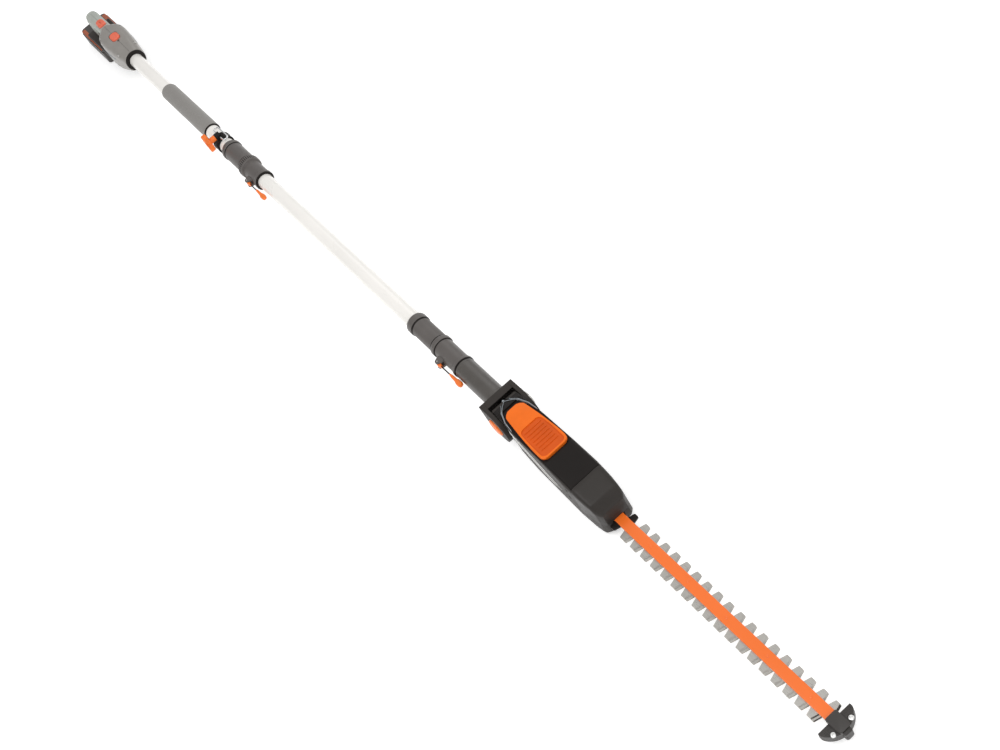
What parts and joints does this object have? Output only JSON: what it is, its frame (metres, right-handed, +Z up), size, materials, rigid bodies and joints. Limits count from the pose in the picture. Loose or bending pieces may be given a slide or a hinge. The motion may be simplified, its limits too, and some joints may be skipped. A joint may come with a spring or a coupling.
{
  "type": "pole hedge trimmer",
  "caption": "Cordless pole hedge trimmer: battery hand loop, two-piece white pole with lever couplings, tilting motor head and double-sided reciprocating toothed blade.",
  "frame": {"origin": "ground level under the middle of the trimmer's length, on its centre plane", "axes": "+X along the pole towards the blade tip, +Y to the left of the cutter, +Z up from the ground, normal to the blades"},
  "size_m": [2.556, 0.08, 0.12],
  "materials": {
    "tube_enamel": "white powder enamel on aluminium tube, satin",
    "charcoal_nylon": "moulded glass-filled nylon, fine texture",
    "dark_nylon": "moulded glass-filled nylon, satin",
    "black_nylon": "moulded nylon, matt black",
    "grey_nylon": "moulded nylon, mid grey",
    "soft_grip": "soft moulded overmould, pale grey",
    "orange_plastic": "moulded acetal, satin orange",
    "battery_shell": "moulded battery case, charcoal",
    "battery_rail": "moulded battery lid, burnt orange",
    "cell_sleeve": "shrink sleeve over steel cells",
    "circuit_board": "lacquered board",
    "cable_jacket": "rubber cable jacket",
    "foam": "closed-cell foam, matt",
    "chrome_wire": "bright plated wire",
    "steel_fastener": "zinc plated steel",
    "spring_steel": "drawn spring wire",
    "motor_steel": "drawn steel can",
    "ground_steel": "ground and nickel plated steel",
    "cast_aluminium": "die cast",
    "rail_enamel": "orange enamel on steel strip"
  },
  "bodies": {
    "handle": {"rear_tube": "tube_enamel", "handle_front_collar": "charcoal_nylon", "handle_shell_left": "grey_nylon", "handle_shell_right": "grey_nylon", "grip_cover": "soft_grip", "handle_screws": "steel_fastener", "battery_dock": "charcoal_nylon", "terminal_block": "black_nylon", "controller_board": "circuit_board", "switch_module": "black_nylon", "trigger_pin": "steel_fastener", "trigger_spring": "spring_steel", "foam_grip": "foam", "harness_clamp": "charcoal_nylon", "rear_coupling": "dark_nylon", "rear_lever_pin": "steel_fastener", "pole_lead": "cable_jacket"},
    "trigger": {"trigger": "charcoal_nylon"},
    "lock_button": {"lock_button": "orange_plastic"},
    "power_button": {"power_button": "orange_plastic"},
    "battery": {"battery_case": "battery_shell", "battery_lid": "battery_rail", "battery_cells": "cell_sleeve"},
    "battery_latch": {"battery_latch": "orange_plastic"},
    "clamp_knob": {"clamp_knob": "orange_plastic"},
    "strap_ring": {"strap_ring": "chrome_wire"},
    "rear_lever": {"rear_lever": "orange_plastic"},
    "mid_pole": {"mid_tube": "tube_enamel", "front_coupling": "dark_nylon", "front_lever_pin": "steel_fastener", "mid_lead": "cable_jacket"},
    "front_lever": {"front_lever": "orange_plastic"},
    "neck": {"neck": "dark_nylon", "yoke": "charcoal_nylon", "pivot_bolt": "steel_fastener", "tilt_spring": "spring_steel"},
    "tilt_button": {"tilt_button": "orange_plastic"},
    "head": {"head_shell_left": "charcoal_nylon", "head_shell_right": "charcoal_nylon", "top_cover": "black_nylon", "nose_cover": "dark_nylon", "head_screws": "steel_fastener", "latch_spring": "spring_steel", "motor_can": "motor_steel", "motor_bearings": "steel_fastener", "gear_plate": "cast_aluminium", "gear_axle": "ground_steel", "blade_rail": "rail_enamel", "blade_bolts": "steel_fastener", "root_stops": "black_nylon", "tip_guard_top": "charcoal_nylon", "tip_guard_bottom": "charcoal_nylon", "tip_screws": "steel_fastener"},
    "latch_tab": {"latch_tab": "orange_plastic"},
    "rotor": {"motor_shaft": "motor_steel", "pinion": "ground_steel"},
    "gear": {"drive_gear": "ground_steel", "cam_pair": "ground_steel"},
    "upper_blade": {"upper_blade": "ground_steel"},
    "lower_blade": {"lower_blade": "ground_steel"}
  },
  "joints": [
    {"name": "trigger_pull", "type": "hinge", "parent": "handle", "child": "trigger", "pos_m": [-1.089, 0, 0.086], "axis": [0, 1, 0], "range_deg": [0, 10], "stiffness_Nm_per_rad": 0.4, "springref_deg": -17.19},
    {"name": "lock_press", "type": "slide", "parent": "handle", "child": "lock_button", "axis": [0, 0, -1], "range_m": [0, 0.004], "stiffness_N_per_m": 400, "springref_m": -0.004},
    {"name": "power_press", "type": "slide", "parent": "handle", "child": "power_button", "axis": [0, 0, -1], "range_m": [0, 0.002], "stiffness_N_per_m": 400, "springref_m": -0.004},
    {"name": "battery_slide", "type": "slide", "parent": "handle", "child": "battery", "axis": [-1, 0, 0], "range_m": [0, 0.14]},
    {"name": "battery_latch_press", "type": "slide", "parent": "battery", "child": "battery_latch", "axis": [1, 0, 0], "range_m": [0, 0.0025], "stiffness_N_per_m": 300, "springref_m": -0.003},
    {"name": "clamp_turn", "type": "hinge", "parent": "handle", "child": "clamp_knob", "pos_m": [-0.529, -0.025, 0.097], "axis": [0, 1, 0], "range_deg": [0, 360]},
    {"name": "strap_ring_swing", "type": "hinge", "parent": "handle", "child": "strap_ring", "pos_m": [-0.529, -0.001, 0.096], "axis": [1, 0, 0], "range_deg": [0, 100]},
    {"name": "rear_lever_flip", "type": "hinge", "parent": "handle", "child": "rear_lever", "pos_m": [-0.376, -0.0262, 0.072], "axis": [0, 0, -1], "range_deg": [0, 100]},
    {"name": "pole_pull", "type": "slide", "parent": "handle", "child": "mid_pole", "axis": [1, 0, 0], "range_m": [0, 0.15]},
    {"name": "front_lever_flip", "type": "hinge", "parent": "mid_pole", "child": "front_lever", "pos_m": [0.332, -0.0262, 0.072], "axis": [0, 0, -1], "range_deg": [0, 100]},
    {"name": "neck_pull", "type": "slide", "parent": "mid_pole", "child": "neck", "axis": [1, 0, 0], "range_m": [0, 0.075]},
    {"name": "head_tilt", "type": "hinge", "parent": "neck", "child": "head", "pos_m": [0.513, 0, 0.064], "axis": [0, 1, 0], "range_deg": [-30, 90]},
    {"name": "tilt_button_press", "type": "slide", "parent": "neck", "child": "tilt_button", "axis": [0, 1, 0], "range_m": [0, 0.0025], "stiffness_N_per_m": 600, "springref_m": -0.004},
    {"name": "latch_slide", "type": "slide", "parent": "head", "child": "latch_tab", "axis": [-1, 0, 0], "range_m": [0, 0.008], "stiffness_N_per_m": 500, "springref_m": -0.006},
    {"name": "gear_spin", "type": "hinge", "parent": "head", "child": "gear", "pos_m": [0.67, 0, 0.012], "axis": [0, 0, 1], "continuous": true},
    {"name": "rotor_spin", "type": "hinge", "parent": "head", "child": "rotor", "pos_m": [0.6385, 0, 0.012], "axis": [0, 0, 1], "continuous": true},
    {"name": "upper_blade_stroke", "type": "slide", "parent": "head", "child": "upper_blade", "axis": [1, 0, 0], "range_m": [-0.006, 0.006]},
    {"name": "lower_blade_stroke", "type": "slide", "parent": "head", "child": "lower_blade", "axis": [1, 0, 0], "range_m": [-0.006, 0.006]}
  ],
  "couplings": [
    {"joint": "rotor_spin", "follows": "gear_spin", "ratio": -6},
    {"joint": "lower_blade_stroke", "follows": "upper_blade_stroke", "ratio": -1}
  ]
}
